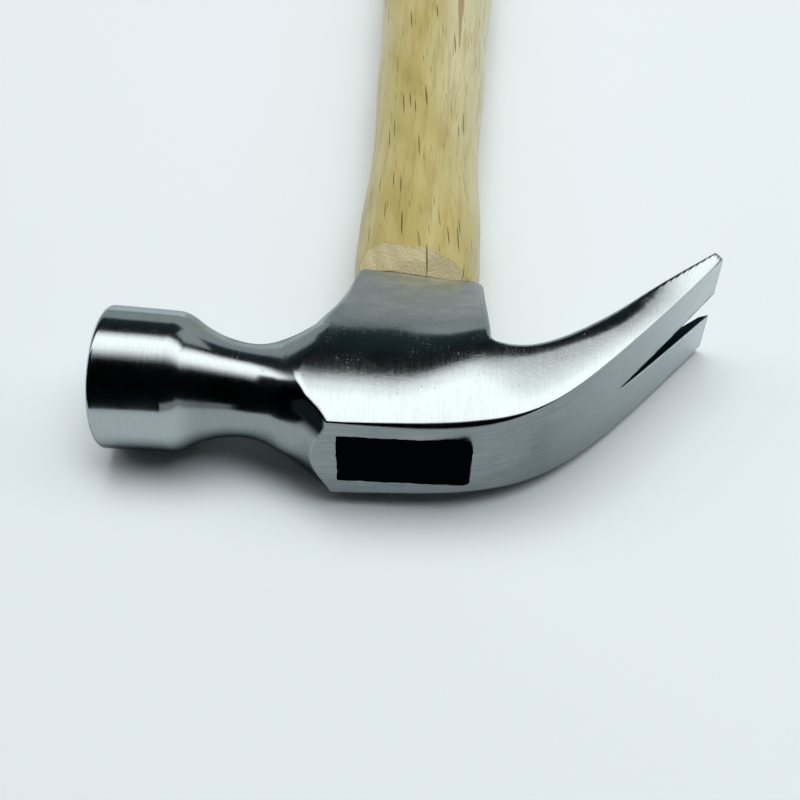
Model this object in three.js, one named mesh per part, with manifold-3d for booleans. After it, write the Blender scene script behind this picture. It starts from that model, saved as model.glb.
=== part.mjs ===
// A small curved-claw hammer with a wooden handle, lying on its side, in millimetres.
//
// The hammer's own axes: x runs from the striking face (-x) to the claw (+x), y runs from the
// crown, the flat top of the head, down the handle to the butt, and z is the side that faces up
// as the hammer lies. The head is symmetric about z = 0. The last lines put the origin at the
// bottom centre of the whole hammer.

import * as THREE from 'three';
import { mergeVertices } from 'three/addons/utils/BufferGeometryUtils.js';
import Module from 'manifold-3d';

const wasm = await Module();
wasm.setup();

// ---------------------------------------------------------------- driving dimensions
const GAP = 0.3; // between pieces that touch

const OVERALL_LENGTH = 280; // crown to butt
const FACE_RADIUS = 12; // striking face
const FACE_X = -50.2; // rim of the striking face
const FACE_DOME = 0.5; // how far the face bulges past its rim
const FACE_FLAT_RADIUS = 5; // the middle of the face is flat
const RIM_CHAMFER = 0.6;
const BELL_REAR_X = -37; // where the poll's cylinder ends and the neck begins
const BELL_REAR_RADIUS = 11.7;
const POLL_AXIS_Y = 13.7; // the poll's axis below the crown, at x = 0
const TOE_ANGLE = THREE.MathUtils.degToRad(1.8); // the poll droops toward the butt
const NECK_X = -26; // narrowest section of the neck
const NECK_RADIUS = 7.8;
const NECK_BEND_X = -38; // from here on the neck's axis rises toward the crown
const NECK_BEND_SLOPE = 0.083;
const FLARE_RISE = 7; // the flare between neck and cheeks is a hyperbola
const FLARE_RUN = 8;
const FLARE_END_X = -10.5;

const CROWN_HALF_WIDTH = 8.55; // narrowest half width of the crown, beside the eye
const CROWN_NARROW_X = 4;
const CLAW_TIP = new THREE.Vector2(52.3, 38.9); // outer edge of the tines' ends
const CLAW_TIP_INNER = new THREE.Vector2(50.7, 39.4);
const CLAW_TIP_HALF_WIDTH = FACE_RADIUS; // so the head lies level on face and claw
const CLAW_ROOT = new THREE.Vector2(14.4, 18.1); // where the claw leaves the socket

const SOCKET_FRONT_X = -9.8; // the skirt around the handle, toward the face
const SOCKET_REAR_X = 11.8; // and toward the claw
const SOCKET_FRONT_Y = 37.2; // its end slopes a little
const SOCKET_REAR_Y = 35.9;
const SOCKET_CORNER = 1.4;
const SKIRT_WAIST = new THREE.Vector2(-13.1, 22.5); // where its front meets the neck's flare
const SKIRT_BEND = new THREE.Vector2(-11.3, 29);

const CHEEK_SLOPE_AT_CROWN = 0.274; // the cheeks swell away from the crown
const CHEEK_CURVATURE = 0.0224;
const CHEEK_SLOPE_AT_SOCKET = -0.2; // and then thin toward the socket's end
const CHEEK_FULL_DEPTH = 22;

const EYE_FRONT_X = -10.4; // the eye's mouth in the crown
const EYE_REAR_X = 10.7;
const EYE_HALF_WIDTH = 5.2;
const EYE_END_FRONT_X = -8.5; // and at the socket's end
const EYE_END_REAR_X = 10.3;
const EYE_END_HALF_WIDTH = 4.9;

const SLOT_APEX = new THREE.Vector2(35.3, 17.8); // point of the nail slot on the outer face
const SLOT_MOUTH_HALF_WIDTH = 2.4;
const SLOT_BEVEL = 0.8; // the slot widens toward the inner face, most at its mouth

const SEAL_DEPTH = 1.6; // black fill in the eye's mouth
const TONGUE_TOP_Y = SEAL_DEPTH + GAP; // end grain of the tongue inside the eye
const WOOD_WEDGE_SIZE = { halfWidth: 8.6, halfThickness: 1.35, depth: 19 };
const STEEL_WEDGE_X = 5.2;
const STEEL_WEDGE_SIZE = { along: 1.8, across: 7.6, depth: 13 };
const CLEAR = 4; // how far a cutting body reaches past what it cuts

// Handle sections below the socket: distance from the crown, half width, half thickness.
const HANDLE_SECTIONS = [
  [0.13, 11.4, 8.9],
  [0.19, 11.25, 8.7],
  [0.27, 10.5, 8.1],
  [0.39, 11.45, 8.7],
  [0.53, 12.7, 9.5],
  [0.68, 13.4, 10.0],
  [0.8, 13.0, 10.1],
  [0.9, 13.6, 10.9],
  [0.965, 14.8, 12.0],
  [1.0, 14.0, 11.3],
];

// ---------------------------------------------------------------- helpers
function toSolid(geometry) {
  const bare = geometry.clone();
  bare.deleteAttribute('normal');
  bare.deleteAttribute('uv');
  const merged = mergeVertices(bare, 1e-4);
  const corners = merged.index.array;
  const triangles = [];
  for (let i = 0; i < corners.length; i += 3) {
    const [a, b, c] = [corners[i], corners[i + 1], corners[i + 2]];
    if (a !== b && b !== c && c !== a) triangles.push(a, b, c);
  }
  return new wasm.Manifold(new wasm.Mesh({
    numProp: 3,
    vertProperties: new Float32Array(merged.attributes.position.array),
    triVerts: new Uint32Array(triangles),
  }));
}

function toGeometry(solid) {
  const mesh = solid.getMesh();
  const geometry = new THREE.BufferGeometry();
  geometry.setAttribute('position', new THREE.BufferAttribute(mesh.vertProperties, 3));
  geometry.setIndex(new THREE.BufferAttribute(mesh.triVerts, 1));
  geometry.computeVertexNormals();
  return geometry;
}

// Moves every vertex of a geometry: move(v) edits the Vector3 it is given.
function reshape(geometry, move) {
  const position = geometry.attributes.position;
  const v = new THREE.Vector3();
  for (let i = 0; i < position.count; i += 1) {
    v.fromBufferAttribute(position, i);
    move(v);
    position.setXYZ(i, v.x, v.y, v.z);
  }
  return geometry;
}

// A straight prism through the crown: outline in x and y, z from -halfDepth to halfDepth.
function prism(shape, halfDepth, curveSegments) {
  const geometry = new THREE.ExtrudeGeometry(shape, {
    depth: 2 * halfDepth, bevelEnabled: false, curveSegments,
  });
  return geometry.translate(0, 0, -halfDepth);
}

// A box whose half width, half thickness and centre change along y.
function taperedBox(fromY, toY, steps, sectionAt) {
  const geometry = new THREE.BoxGeometry(2, 1, 2, 1, steps, 1);
  return reshape(geometry, (v) => {
    const y = THREE.MathUtils.lerp(fromY, toY, v.y + 0.5);
    const { centre, halfWidth, halfThickness } = sectionAt(y);
    v.set(centre + v.x * halfWidth, y, v.z * halfThickness);
  });
}

// ---------------------------------------------------------------- the head's curves
const CLAW_OUTER = new THREE.CubicBezierCurve(
  new THREE.Vector2(0, 0), new THREE.Vector2(22.3, 0), new THREE.Vector2(27.5, 8.3), CLAW_TIP,
);
const CLAW_INNER = new THREE.CubicBezierCurve(
  CLAW_ROOT, new THREE.Vector2(23, 18.1), new THREE.Vector2(25, 17.8), CLAW_TIP_INNER,
);

// Height y of a curve that runs steadily toward +x, by linear interpolation.
function heightTable(curve) {
  const points = curve.getPoints(120);
  return (x) => {
    if (x <= points[0].x) return points[0].y;
    const next = points.findIndex((p) => p.x >= x);
    if (next < 0) return points[points.length - 1].y;
    const [a, b] = [points[next - 1], points[next]];
    return THREE.MathUtils.mapLinear(x, a.x, b.x, a.y, b.y);
  };
}
const crownHeight = heightTable(CLAW_OUTER);
const innerHeight = heightTable(CLAW_INNER);

function crownHalfWidth(x) {
  const reach = (x - CROWN_NARROW_X) / (CLAW_TIP.x - CROWN_NARROW_X);
  return CROWN_HALF_WIDTH + (CLAW_TIP_HALF_WIDTH - CROWN_HALF_WIDTH) * reach * reach;
}

// How far the cheek stands out past the crown's edge, at a depth below it.
function cheekSwell(depth) {
  const steady = (CHEEK_SLOPE_AT_CROWN - CHEEK_SLOPE_AT_SOCKET) / CHEEK_CURVATURE;
  const curved = Math.min(depth, steady);
  const swell = CHEEK_SLOPE_AT_CROWN * curved - 0.5 * CHEEK_CURVATURE * curved * curved;
  return swell + CHEEK_SLOPE_AT_SOCKET * (depth - curved);
}

function cheekHalfWidth(x, y) {
  const depth = Math.max(0, y - crownHeight(x));
  const full = x > CLAW_ROOT.x ? innerHeight(x) - crownHeight(x) : CHEEK_FULL_DEPTH;
  const scale = Math.min(1, Math.max(0.05, full / CHEEK_FULL_DEPTH));
  const width = crownHalfWidth(Math.max(x, NECK_X)) + scale * cheekSwell(depth / scale);
  const freeOfPoll = THREE.MathUtils.smoothstep(-x, -NECK_X - 6, -NECK_X + 4);
  return THREE.MathUtils.lerp(Math.min(width, CLAW_TIP_HALF_WIDTH), FACE_RADIUS + 2, freeOfPoll);
}

// ---------------------------------------------------------------- the head
function neckRadius(x) {
  const run = x - NECK_X;
  if (run >= 0) {
    return NECK_RADIUS + FLARE_RISE * (Math.hypot(1, run / FLARE_RUN) - 1);
  }
  const toBell = BELL_REAR_X - NECK_X;
  const rise = BELL_REAR_RADIUS - NECK_RADIUS;
  const arc = (toBell * toBell + rise * rise) / (2 * rise);
  return NECK_RADIUS + arc - Math.sqrt(arc * arc - run * run);
}

function pollAndNeck() {
  const profile = [
    new THREE.Vector2(0, FACE_X - FACE_DOME),
    new THREE.Vector2(FACE_FLAT_RADIUS, FACE_X - FACE_DOME),
    new THREE.Vector2(0.75 * FACE_RADIUS, FACE_X - 0.6 * FACE_DOME),
    new THREE.Vector2(FACE_RADIUS - RIM_CHAMFER, FACE_X),
    new THREE.Vector2(FACE_RADIUS, FACE_X + RIM_CHAMFER),
  ];
  const steps = 20;
  for (let i = 0; i <= steps; i += 1) {
    const x = THREE.MathUtils.lerp(BELL_REAR_X, FLARE_END_X, i / steps);
    profile.push(new THREE.Vector2(neckRadius(x), x));
  }
  profile.push(new THREE.Vector2(0, FLARE_END_X));
  const turned = new THREE.LatheGeometry(profile, 48);
  return reshape(turned, (v) => {
    const along = v.y;
    const rise = Math.max(0, along - NECK_BEND_X) * NECK_BEND_SLOPE;
    v.set(along, -rise - v.x, v.z);
    v.applyAxisAngle(new THREE.Vector3(0, 0, 1), -TOE_ANGLE);
    v.y += POLL_AXIS_Y;
  });
}

function bodyOutline() {
  const shape = new THREE.Shape();
  const front = SKIRT_BEND.x;
  shape.moveTo(front, 0);
  for (const point of CLAW_OUTER.getPoints(20)) shape.lineTo(point.x, point.y);
  for (const point of CLAW_INNER.getPoints(20).reverse()) shape.lineTo(point.x, point.y);
  const rootX = CLAW_ROOT.x - SOCKET_CORNER;
  shape.quadraticCurveTo(rootX, CLAW_ROOT.y, rootX, CLAW_ROOT.y + SOCKET_CORNER);
  shape.lineTo(SOCKET_REAR_X, SOCKET_REAR_Y - SOCKET_CORNER);
  shape.quadraticCurveTo(
    SOCKET_REAR_X, SOCKET_REAR_Y, SOCKET_REAR_X - SOCKET_CORNER, SOCKET_REAR_Y,
  );
  shape.lineTo(SOCKET_FRONT_X + SOCKET_CORNER, SOCKET_FRONT_Y);
  shape.quadraticCurveTo(
    SOCKET_FRONT_X, SOCKET_FRONT_Y, SOCKET_FRONT_X - 0.2, SOCKET_FRONT_Y - SOCKET_CORNER,
  );
  // the front of the skirt runs down into the neck's flare
  shape.quadraticCurveTo(SKIRT_BEND.x, SKIRT_BEND.y, SKIRT_WAIST.x, SKIRT_WAIST.y);
  shape.lineTo(front, POLL_AXIS_Y);
  shape.closePath();
  return shape;
}

// A slab whose two broad faces are the head's cheeks.
function cheekSlab() {
  const from = new THREE.Vector2(FACE_X - CLEAR, -CLEAR / 2);
  const size = new THREE.Vector2(CLAW_TIP.x, CLAW_TIP_INNER.y).sub(from).addScalar(CLEAR / 2);
  const slab = new THREE.BoxGeometry(size.x, size.y, 2, 44, 18, 1);
  slab.translate(from.x + size.x / 2, from.y + size.y / 2, 0);
  return reshape(slab, (v) => {
    v.z *= cheekHalfWidth(v.x, v.y);
  });
}

function eyeAt(y) {
  const share = y / SOCKET_FRONT_Y;
  const front = THREE.MathUtils.lerp(EYE_FRONT_X, EYE_END_FRONT_X, share);
  const rear = THREE.MathUtils.lerp(EYE_REAR_X, EYE_END_REAR_X, share);
  return {
    centre: (front + rear) / 2,
    halfWidth: (rear - front) / 2,
    halfThickness: THREE.MathUtils.lerp(EYE_HALF_WIDTH, EYE_END_HALF_WIDTH, share),
  };
}

function insideEye(y) {
  const eye = eyeAt(y);
  eye.halfWidth -= GAP;
  eye.halfThickness -= GAP;
  return eye;
}

// The nail slot: a wedge along the claw, bevelled so that it is wider on the inner face.
function nailSlot() {
  const along = new THREE.Vector2().subVectors(CLAW_TIP, SLOT_APEX);
  const inward = new THREE.Vector2(-along.y, along.x).normalize();
  const overrun = 1.4;
  const depthFrom = -3;
  const depthTo = 11;
  const wedge = new THREE.BoxGeometry(1, 1, 2, 8, 7, 1);
  return reshape(wedge, (v) => {
    const share = (v.x + 0.5) * overrun;
    const depth = THREE.MathUtils.lerp(depthFrom, depthTo, v.y + 0.5);
    const halfWidth = share * (SLOT_MOUTH_HALF_WIDTH + SLOT_BEVEL * Math.max(0, depth));
    v.set(
      SLOT_APEX.x + along.x * share + inward.x * depth,
      SLOT_APEX.y + along.y * share + inward.y * depth,
      v.z * Math.max(0.05, halfWidth),
    );
  });
}

function hammerHead() {
  const body = toSolid(prism(bodyOutline(), FACE_RADIUS + 1, 24));
  const rough = toSolid(pollAndNeck()).add(body).intersect(toSolid(cheekSlab()));
  const aboveCrown = new THREE.BoxGeometry(-NECK_X, CLEAR, 2 * FACE_RADIUS + CLEAR);
  const crownCut = toSolid(aboveCrown.translate(NECK_X / 2, -CLEAR / 2, 0));
  const eye = toSolid(taperedBox(-CLEAR, SOCKET_FRONT_Y + CLEAR, 1, eyeAt));
  return rough.subtract(crownCut).subtract(eye).subtract(toSolid(nailSlot()));
}

// ---------------------------------------------------------------- the handle
function handleSection(y) {
  const share = y / OVERALL_LENGTH;
  const last = HANDLE_SECTIONS.length - 1;
  let next = HANDLE_SECTIONS.findIndex((section) => section[0] >= share);
  if (next < 0) next = last;
  next = Math.max(next, 1);
  const [a, b] = [HANDLE_SECTIONS[next - 1], HANDLE_SECTIONS[next]];
  const blend = THREE.MathUtils.smootherstep(share, a[0], b[0]);
  return {
    halfWidth: THREE.MathUtils.lerp(a[1], b[1], blend),
    halfThickness: THREE.MathUtils.lerp(a[2], b[2], blend),
  };
}

// The grip: an oval that follows handleSection, from its shoulder at the socket to the butt.
function grip() {
  const socketEnd = (x) => THREE.MathUtils.mapLinear(
    x, SOCKET_FRONT_X, SOCKET_REAR_X, SOCKET_FRONT_Y, SOCKET_REAR_Y,
  );
  const topHalfWidth = HANDLE_SECTIONS[0][1];
  const round = new THREE.CylinderGeometry(1, 1, 1, 36, 44);
  return reshape(round, (v) => {
    const shoulder = socketEnd(v.x * topHalfWidth) + GAP;
    const y = THREE.MathUtils.lerp(shoulder, OVERALL_LENGTH, v.y + 0.5);
    const { halfWidth, halfThickness } = handleSection(y);
    v.set(v.x * halfWidth, y, v.z * halfThickness);
  });
}

function woodWedgeAt(y) {
  const { halfWidth, halfThickness, depth } = WOOD_WEDGE_SIZE;
  const thin = THREE.MathUtils.mapLinear(y, TONGUE_TOP_Y, TONGUE_TOP_Y + depth, 1, 0.2);
  return { centre: eyeAt(y).centre, halfWidth, halfThickness: halfThickness * thin };
}

// The saw cut in the tongue that the wooden wedge spreads.
function kerfAt(y) {
  const { centre, halfThickness } = woodWedgeAt(y);
  return { centre, halfWidth: EYE_REAR_X + CLEAR, halfThickness: halfThickness + GAP };
}

function steelWedgeAt(side, clearance) {
  return (y) => {
    const { along, across, depth } = STEEL_WEDGE_SIZE;
    const thin = THREE.MathUtils.mapLinear(y, TONGUE_TOP_Y, TONGUE_TOP_Y + depth, 1, 0.3);
    return {
      centre: side * STEEL_WEDGE_X,
      halfWidth: (along / 2) * thin + clearance,
      halfThickness: across / 2 + clearance,
    };
  };
}

function steelWedge(side, clearance) {
  const bottom = TONGUE_TOP_Y + STEEL_WEDGE_SIZE.depth + clearance;
  const top = TONGUE_TOP_Y - clearance;
  return toSolid(taperedBox(top, bottom, 1, steelWedgeAt(side, clearance)));
}

function woodenHandle() {
  const tongue = toSolid(taperedBox(TONGUE_TOP_Y, SOCKET_FRONT_Y + CLEAR, 1, insideEye));
  const kerfEnd = TONGUE_TOP_Y + WOOD_WEDGE_SIZE.depth + GAP;
  const kerf = toSolid(taperedBox(TONGUE_TOP_Y - GAP, kerfEnd, 1, kerfAt));
  return toSolid(grip()).add(tongue).subtract(kerf)
    .subtract(steelWedge(-1, GAP)).subtract(steelWedge(1, GAP));
}

function woodWedge() {
  const bottom = TONGUE_TOP_Y + WOOD_WEDGE_SIZE.depth;
  return toSolid(taperedBox(TONGUE_TOP_Y, bottom, 1, woodWedgeAt))
    .subtract(steelWedge(-1, GAP)).subtract(steelWedge(1, GAP));
}

function eyeSeal() {
  return toSolid(taperedBox(0, SEAL_DEPTH, 1, insideEye));
}

// ---------------------------------------------------------------- the assembly
const polishedSteel = { color: 0x8d9293, roughness: 0.3, metalness: 1 };
const paleOak = { color: 0xd8b983, roughness: 0.45, metalness: 0 };
const blackFill = { color: 0x0b0d10, roughness: 0.6, metalness: 0 };
const wedgeWood = { color: 0xb98e5a, roughness: 0.7, metalness: 0 };
const wedgeSteel = { color: 0x6f7375, roughness: 0.5, metalness: 1 };

const hammer = new THREE.Group();
hammer.name = 'claw_hammer';

function addPiece(name, solid, look) {
  const mesh = new THREE.Mesh(toGeometry(solid), new THREE.MeshStandardMaterial(look));
  mesh.name = name;
  hammer.add(mesh);
}

addPiece('hammer_head', hammerHead(), polishedSteel);
addPiece('handle', woodenHandle(), paleOak);
addPiece('wood_wedge', woodWedge(), wedgeWood);
addPiece('steel_wedge_front', steelWedge(-1, 0), wedgeSteel);
addPiece('steel_wedge_rear', steelWedge(1, 0), wedgeSteel);
addPiece('eye_seal', eyeSeal(), blackFill);

const box = new THREE.Box3().setFromObject(hammer);
hammer.position.set(-(box.min.x + box.max.x) / 2, -(box.min.y + box.max.y) / 2, -box.min.z);

export default hammer;
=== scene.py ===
"""A claw hammer with a wooden handle, lying on its side on a pale table.

The head's own axes, in millimetres: x from the striking face to the claw, y from the crown down
the handle to the butt, z up as the hammer lies. The head is symmetric about z = 0.
"""

import math

import bpy
import numpy as np
from mathutils import Matrix, Vector


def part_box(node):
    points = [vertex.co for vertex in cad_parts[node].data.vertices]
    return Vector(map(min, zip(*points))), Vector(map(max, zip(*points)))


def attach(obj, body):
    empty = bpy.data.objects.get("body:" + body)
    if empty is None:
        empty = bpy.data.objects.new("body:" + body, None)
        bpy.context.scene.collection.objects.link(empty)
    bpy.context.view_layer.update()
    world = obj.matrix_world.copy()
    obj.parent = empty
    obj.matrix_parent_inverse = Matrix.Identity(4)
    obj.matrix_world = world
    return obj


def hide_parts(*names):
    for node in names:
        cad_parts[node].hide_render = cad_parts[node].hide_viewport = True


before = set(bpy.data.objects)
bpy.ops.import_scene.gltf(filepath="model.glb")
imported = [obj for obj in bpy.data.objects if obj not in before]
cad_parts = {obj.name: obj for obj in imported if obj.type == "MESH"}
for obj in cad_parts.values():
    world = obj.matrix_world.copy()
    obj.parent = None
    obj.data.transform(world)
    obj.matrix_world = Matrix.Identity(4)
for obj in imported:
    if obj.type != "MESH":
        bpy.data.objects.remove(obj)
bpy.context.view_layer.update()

# ---------------------------------------------------------------- dimensions, mm
MM = 0.001
TIP, TIP_INNER = (52.3, 38.9), (50.7, 39.4)
HEAD_LOW, HEAD_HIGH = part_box("hammer_head")
# the head's own origin in the row frame
ORIGIN = np.array([HEAD_HIGH.x / MM - TIP[0], HEAD_LOW.y / MM, (HEAD_LOW.z + HEAD_HIGH.z) / 2 / MM])

# the poll: a striking face that leans toward the butt, a conical bell and a waisted neck
TOE = math.radians(1.8)
POLL_AXIS_Y = 13.7
FACE_X, FACE_RADIUS = -50.7, 12.0
FLAT_RADIUS, DOME = 4.0, 0.5
BELL_X, BELL_RADIUS = -37.0, 11.7
NECK_X, NECK_RADIUS = -26.0, 7.8
# the neck's axis climbs toward the crown from CLIMB_X on
CLIMB_X, CLIMB_SLOPE = -38.0, 0.083
# the hyperbola by which the neck flares into the cheeks
FLARE_RISE, FLARE_RUN = 7.0, 8.0
# the neck is a little flatter on its crown side, next to the cheeks
NECK_FLAT = 1.2

# the claw's outer and inner faces as Bezier curves in (x, y), and the deep end of its nail slot
OUTER_CURVE = ((0, 0), (22.3, 0), (27.5, 8.3), TIP)
INNER_CURVE = ((14.4, 17.5), (22, 17.4), (25.3, 17.9), TIP_INNER)
SLOT_APEX = (35.7, 18.3)
SLOT_APEX_HALF, SLOT_SPREAD, SLOT_FLARE = 0.26, 2.3, 0.8
# the tines' ends are cut square to this direction in (x, y)
TIP_CUT = (0.298, 0.954)

# the cheeks: half thickness at the crown over the eye, its growth toward both ends, and its limit
CHEEK_HALF, CHEEK_GROWTH, CHEEK_LIMIT = 8.55, 3.0, 11.98
# over the eye a cheek leans out by CHEEK_OUT and loses CHEEK_TURN of that slope as it goes down
CHEEK_OUT, CHEEK_TURN = 0.274, 0.201
# how far a tine's side leans out between its outer and inner faces
TINE_LEAN = 1.25

# the eye from the crown to the socket's end: front, rear and half width
EYE_FRONT, EYE_REAR, EYE_HALF, EYE_CORNER = (-10.2, -8.5), (10.5, 10.3), (5.0, 4.9), 1.0
SOCKET_END = ((-9.8, 38.0), (11.8, 35.9))
# the socket's rear wall in x at two heights, and its front, which bows out and flares at the neck
SOCKET_REAR, SOCKET_REAR_Y = (13.0, 11.8), (19.5, 34.5)
SOCKET_FRONT, SOCKET_BOW, SOCKET_FLARE = -10.1, 1.5, 7.2
SHOULDER_Y = 37.2

# the tongue in the eye, from the crown to the shoulder: middle and half length in x, half width
TONGUE_X, TONGUE_LENGTH, TONGUE_WIDTH = (0.15, 0.9), (10.25, 9.1), (4.9, 4.6)

# the handle: its whole length, and (share of the length, half width, half thickness)
LENGTH = 280.0
HANDLE_SECTIONS = ((0.13, 11.4, 8.9), (0.19, 11.25, 8.7), (0.27, 10.5, 8.1), (0.39, 11.45, 8.7),
                   (0.53, 12.7, 9.5), (0.68, 13.4, 10.0), (0.8, 13.0, 10.1), (0.9, 13.6, 10.9),
                   (0.965, 14.8, 12.0), (1.0, 14.0, 11.3))
# the rasped facet below the socket ends this far down, and the butt's edge is rounded over BUTT_EDGE
FACET_END, BUTT_EDGE = 12.0, 2.4
# the handle's surface is unrolled as if it were a cylinder of this radius
UNROLL_RADIUS = 11.0

# the camera: its target on the head, angles in degrees, distance in metres
CAMERA_AIM = (-1.23, 13.03, 0)
CAMERA_AZIMUTH, CAMERA_ELEVATION, CAMERA_ROLL, CAMERA_DISTANCE = 3.357, 48.657, 0.15, 0.19682


# ---------------------------------------------------------------- field arithmetic
def smooth(x, a, b):
    t = np.clip((x - a) / (b - a), 0, 1)
    return t * t * (3 - 2 * t)


def mix(a, b, t):
    return a + (b - a) * t


def meet(a, b, r):
    """Intersection of two solids, its edge rounded to about radius r."""
    u, v = np.maximum(a + r, 0), np.maximum(b + r, 0)
    return np.minimum(np.maximum(a, b), -r) + np.sqrt(u * u + v * v)


def join(a, b, r):
    """Union of two solids, its inner corner filled to about radius r."""
    return -meet(-a, -b, r)


class Rail:
    """A Bezier curve as a height y(x): level before its start, straight after its end."""

    def __init__(self, p):
        t = np.linspace(0, 1, 400)[:, None]
        p = np.array(p, float)
        c = ((1 - t) ** 3 * p[0] + 3 * (1 - t) ** 2 * t * p[1]
             + 3 * (1 - t) * t * t * p[2] + t ** 3 * p[3])
        ahead = c[-1] + (c[-1] - c[-2]) / np.linalg.norm(c[-1] - c[-2]) * 12
        c = np.vstack([[[-80.0, p[0][1]]], c, ahead[None]])
        self.x, self.y = c[:, 0], c[:, 1]

    def at(self, x):
        return np.interp(x, self.x, self.y)

    def slope(self, x):
        return (self.at(x + 0.2) - self.at(x - 0.2)) / 0.4

    def cosine(self, x):
        slope = self.slope(x)
        return 1 / np.sqrt(1 + slope * slope)


outer, inner = Rail(OUTER_CURVE), Rail(INNER_CURVE)


# ---------------------------------------------------------------- the head as a field
def poll(x, y, z):
    """Face, bell and neck round the poll's axis: a along it, b across it, rho from the neck's axis."""
    c, s = math.cos(TOE), math.sin(TOE)
    a = x * c - (y - POLL_AXIS_Y) * s
    b = x * s + (y - POLL_AXIS_Y) * c
    past = a - CLIMB_X
    rho = np.hypot(b + CLIMB_SLOPE * (past + np.sqrt(past ** 2 + 4)) / 2, z)
    # the neck's profile is an arc toward the bell and a hyperbola toward the cheeks
    reach, lift = BELL_X - NECK_X, BELL_RADIUS - NECK_RADIUS
    arc = (reach * reach + lift * lift) / (2 * lift)
    run = a - NECK_X
    left = np.clip(run, -0.9 * arc, 0)
    bow = np.sqrt(arc * arc - left * left)
    right = np.maximum(run, 0)
    hyp = np.sqrt(1 + (right / FLARE_RUN) ** 2)
    radius = NECK_RADIUS + arc - bow + FLARE_RISE * (hyp - 1)
    radius = radius - NECK_FLAT * smooth(-b / (rho + 0.1), 0.75, 1.0) * smooth(a, -21, -15)
    slope = np.where(run < 0, left / bow, FLARE_RISE * right / FLARE_RUN ** 2 / hyp)
    neck = (rho - radius) / np.sqrt(1 + slope * slope)
    taper = (FACE_RADIUS - BELL_RADIUS) / (BELL_X - FACE_X)
    bell = rho - (BELL_RADIUS + taper * (BELL_X - a) + 2 * np.maximum(a - BELL_X - 1.5, 0))
    dome = DOME * (np.maximum(rho - FLAT_RADIUS, 0) / (FACE_RADIUS - FLAT_RADIUS)) ** 2
    face = FACE_X + dome - a
    body = meet(neck, bell, 0.9)
    return meet(meet(body, face, 0.8), a + 3.0, 0.1)


def half_width(x, y):
    """Half thickness between the cheeks: they bulge over the eye and lean out along the claw."""
    top = outer.at(x)
    depth = np.maximum(y - top, 0)
    # over the eye the slope turns inward with a power of the depth, until it is -fall
    rear = smooth(x, -3, 13)
    power, level, fall = mix(1.0, 2.0, rear), mix(9.0, 12.4, rear), mix(0.22, 0.31, rear)
    bend = np.minimum(depth, level * ((CHEEK_OUT + fall) / CHEEK_TURN) ** (1 / power))
    turned = CHEEK_TURN * level / (power + 1) * (bend / level) ** (power + 1)
    over_eye = CHEEK_OUT * bend - turned - fall * (depth - bend)
    # on the claw it leans out, and rolls in again toward the inner face except on the tines
    thick = np.maximum(inner.at(x) - top, 1.0)
    start = 0.74 - 0.22 * np.exp(-((x - 35) / 7) ** 2)
    roll = np.maximum(depth / thick - start, 0)
    fade = 0.34 * (1 - smooth(x, 31, 44))
    lean = mix(0.11, TINE_LEAN / thick, smooth(x, 34, 46))
    lift = 0.4 - 0.25 * smooth(x, 36, 50)
    on_claw = lean * depth + lift * (1 - np.exp(-depth / 2.5)) - fade * thick * roll * roll
    swell = mix(over_eye, on_claw, smooth(x, 9, 20))
    # at the crown it grows toward the neck and toward the tines
    to_neck = (np.maximum(x, NECK_X) - 4) / 48.3
    to_tines = (CHEEK_GROWTH - smooth(x, 30, 46)) * smooth(x, 13, 50)
    at_crown = CHEEK_HALF + np.where(x < 4, CHEEK_GROWTH * to_neck * to_neck, to_tines)
    width = np.minimum(at_crown + swell, CHEEK_LIMIT)
    # past the cheeks nothing limits the poll
    return mix(width, 30, smooth(-x, 20, 30))


def cheek(x, y, z):
    e = 0.1
    h = half_width(x, y)
    gx = (half_width(x + e, y) - half_width(x - e, y)) / (2 * e)
    gy = (half_width(x, y + e) - half_width(x, y - e)) / (2 * e)
    return (np.abs(z) - h) / np.sqrt(1 + gx * gx + gy * gy)


def socket_end(x):
    (x0, y0), (x1, y1) = SOCKET_END
    return mix(y0, y1, (x - x0) / (x1 - x0))


def under(x, y):
    """The side toward the handle, which is the claw's inner face and the socket, and the front."""
    claw = (y - inner.at(x)) * inner.cosine(x)
    rear = x - mix(*SOCKET_REAR, (y - SOCKET_REAR_Y[0]) / (SOCKET_REAR_Y[1] - SOCKET_REAR_Y[0]))
    end = y - socket_end(x)
    bow = np.clip((SHOULDER_Y - y) / 10, 0, 2)
    front = (SOCKET_FRONT - SOCKET_BOW * bow + SOCKET_FLARE * smooth(-y, -24, -12)) - x
    socket = meet(meet(rear, end, 1.3), front, 1.2)
    return join(claw, socket, 1.0), front


def eye_box(x, y, z):
    """The tapered eye with rounded corners."""
    t = y / SOCKET_END[0][1]
    front, rear = mix(*EYE_FRONT, t), mix(*EYE_REAR, t)
    middle, half_length = (front + rear) / 2, (rear - front) / 2
    qx = np.abs(x - middle) - half_length + EYE_CORNER
    qz = np.abs(z) - mix(*EYE_HALF, t) + EYE_CORNER
    outside = np.hypot(np.maximum(qx, 0), np.maximum(qz, 0))
    return outside + np.minimum(np.maximum(qx, qz), 0) - EYE_CORNER


def slot(x, y, z):
    """The nail slot: it opens from its apex to the tips, and widens toward the inner face."""
    ax, ay = TIP[0] - SLOT_APEX[0], TIP[1] - SLOT_APEX[1]
    n = math.hypot(ax, ay)
    share = ((x - SLOT_APEX[0]) * ax + (y - SLOT_APEX[1]) * ay) / n ** 2
    depth = ((y - SLOT_APEX[1]) * ax - (x - SLOT_APEX[0]) * ay) / n
    gap = SLOT_APEX_HALF + share * (SLOT_SPREAD + SLOT_FLARE * np.maximum(depth, 0))
    return (np.abs(z) - gap) * 0.97 + 5 * np.maximum(-share, 0)


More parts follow.
